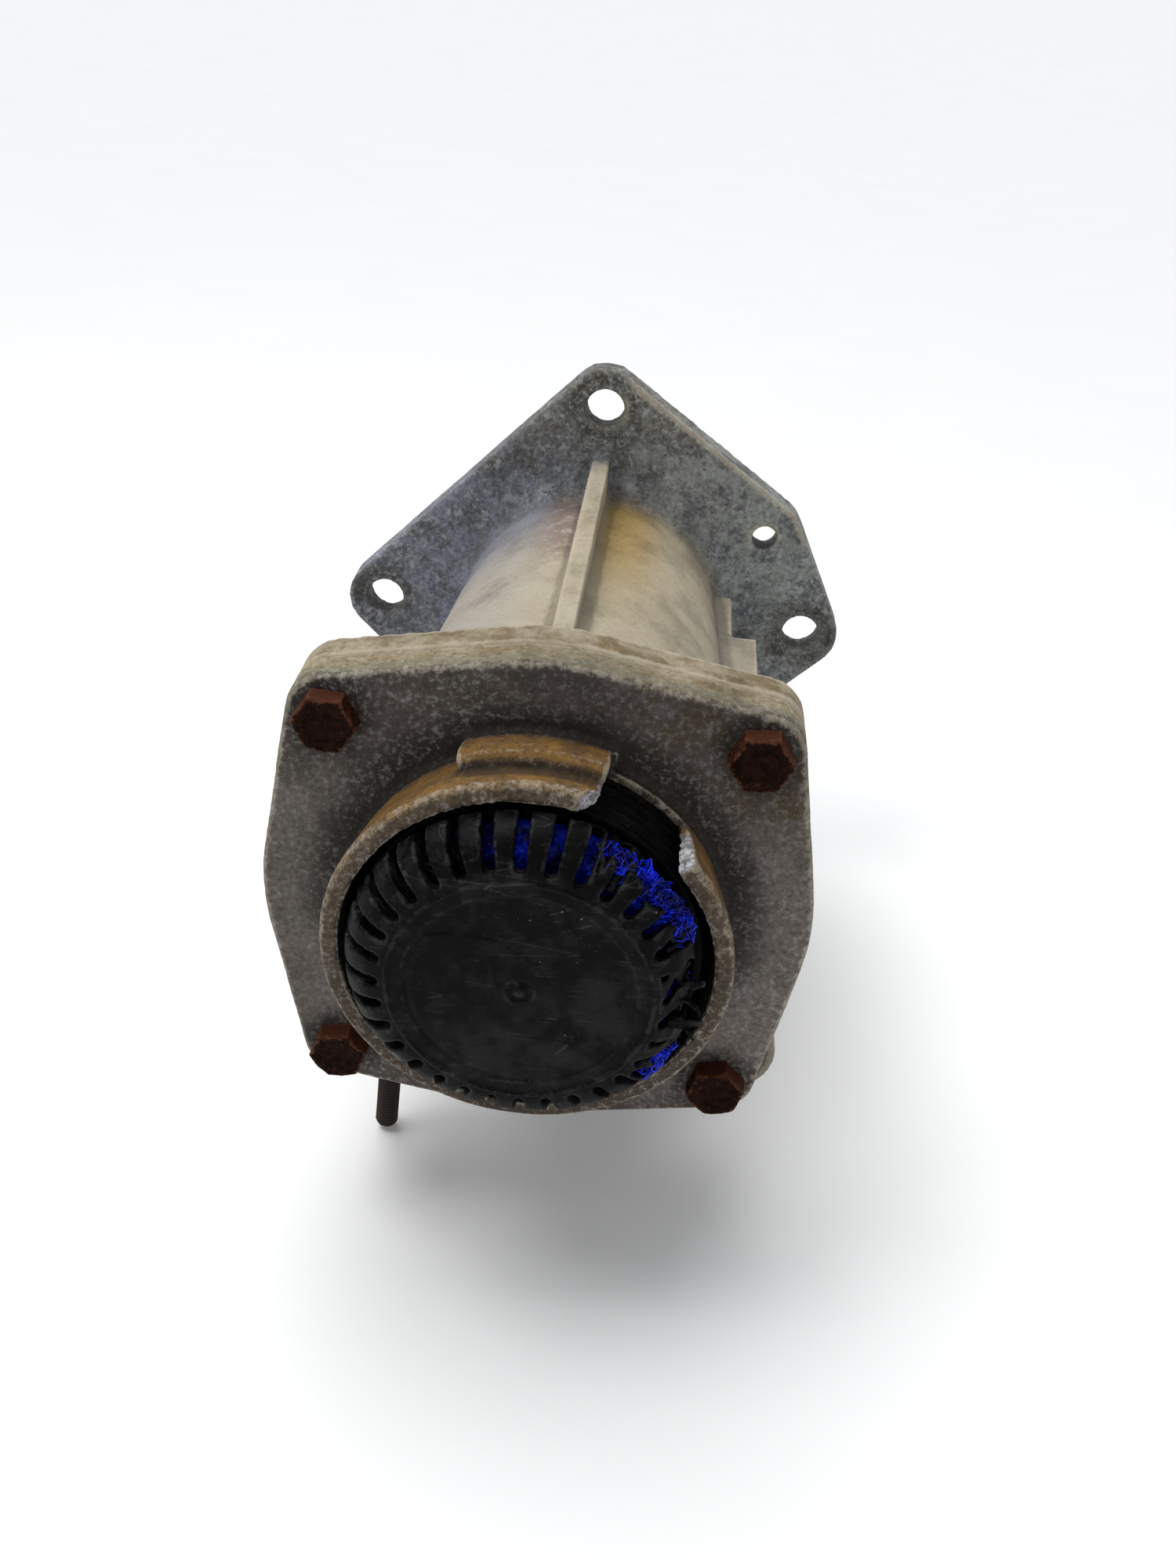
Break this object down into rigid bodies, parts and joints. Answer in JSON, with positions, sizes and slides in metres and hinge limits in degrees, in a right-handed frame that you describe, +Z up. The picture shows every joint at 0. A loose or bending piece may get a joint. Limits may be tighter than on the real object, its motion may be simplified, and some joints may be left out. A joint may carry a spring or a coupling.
{
  "type": "foot brake valve",
  "caption": "Flanged pneumatic foot brake valve: diamond mounting plate, ribbed cast body, bolted exhaust cover with broken shroud and slotted silencer.",
  "frame": {"origin": "centre of the four mounting holes on the mounting face", "axes": "+Y out of the mounting face along the valve axis, towards the pedal; +Z up, towards the rib and the thick pad of the shroud; +X towards the delivery ports"},
  "size_m": [0.1246, 0.173, 0.1383],
  "materials": {
    "cast_aluminium": "oxidised die casting, grey with tan staining",
    "machined_aluminium": "turned, satin",
    "rusty_steel": "heavily rusted",
    "dark_steel": "blackened, lightly rusted",
    "spring_steel": "bright wire",
    "plunger_steel": "ground, lightly oiled",
    "black_rubber": "matte",
    "black_plastic": "worn and scratched",
    "white_plastic": "natural moulding",
    "blue_mesh": "knitted filter pad",
    "brass": "turned"
  },
  "bodies": {
    "root": {"valve_body": "cast_aluminium", "exhaust_cover": "cast_aluminium", "cover_bolts": "rusty_steel", "cover_seal": "black_rubber", "silencer_cap": "black_plastic", "silencer_base": "black_plastic", "silencer_mesh": "blue_mesh", "exhaust_flap": "black_rubber", "steady_stud": "dark_steel", "plunger_boot": "black_rubber", "plunger_guide": "white_plastic", "guide_circlip": "spring_steel", "graduating_spring": "black_rubber", "reaction_return_spring": "spring_steel", "upper_valve_guide": "white_plastic", "upper_valve_spring": "spring_steel", "relay_return_spring": "spring_steel", "lower_valve_guide": "white_plastic", "lower_valve_spring": "spring_steel"},
    "plunger": {"plunger": "plunger_steel"},
    "reaction_piston": {"reaction_piston": "machined_aluminium", "reaction_piston_seal": "black_rubber"},
    "upper_valve": {"upper_valve": "brass"},
    "relay_piston": {"relay_piston": "machined_aluminium", "relay_piston_seal": "black_rubber"},
    "lower_valve": {"lower_valve": "brass"}
  },
  "joints": [
    {"name": "plunger_slide", "type": "slide", "parent": "root", "child": "plunger", "axis": [0, -1, 0], "range_m": [0, 0.008], "stiffness_N_per_m": 3000, "deforming": ["plunger_boot", "graduating_spring"]},
    {"name": "reaction_piston_slide", "type": "slide", "parent": "root", "child": "reaction_piston", "axis": [0, -1, 0], "range_m": [0, 0.0036], "stiffness_N_per_m": 1500, "deforming": ["reaction_return_spring"]},
    {"name": "upper_valve_slide", "type": "slide", "parent": "root", "child": "upper_valve", "axis": [0, -1, 0], "range_m": [0, 0.0023], "stiffness_N_per_m": 1000, "deforming": ["upper_valve_spring"]},
    {"name": "relay_piston_slide", "type": "slide", "parent": "root", "child": "relay_piston", "axis": [0, -1, 0], "range_m": [0, 0.0031], "stiffness_N_per_m": 1500, "deforming": ["relay_return_spring"]},
    {"name": "lower_valve_slide", "type": "slide", "parent": "root", "child": "lower_valve", "axis": [0, -1, 0], "range_m": [0, 0.0019], "stiffness_N_per_m": 1000, "deforming": ["lower_valve_spring"]}
  ],
  "couplings": [
    {"joint": "reaction_piston_slide", "follows": "plunger_slide", "ratio": 0.4375},
    {"joint": "upper_valve_slide", "follows": "plunger_slide", "ratio": 0.275},
    {"joint": "relay_piston_slide", "follows": "plunger_slide", "ratio": 0.375},
    {"joint": "lower_valve_slide", "follows": "plunger_slide", "ratio": 0.225}
  ]
}
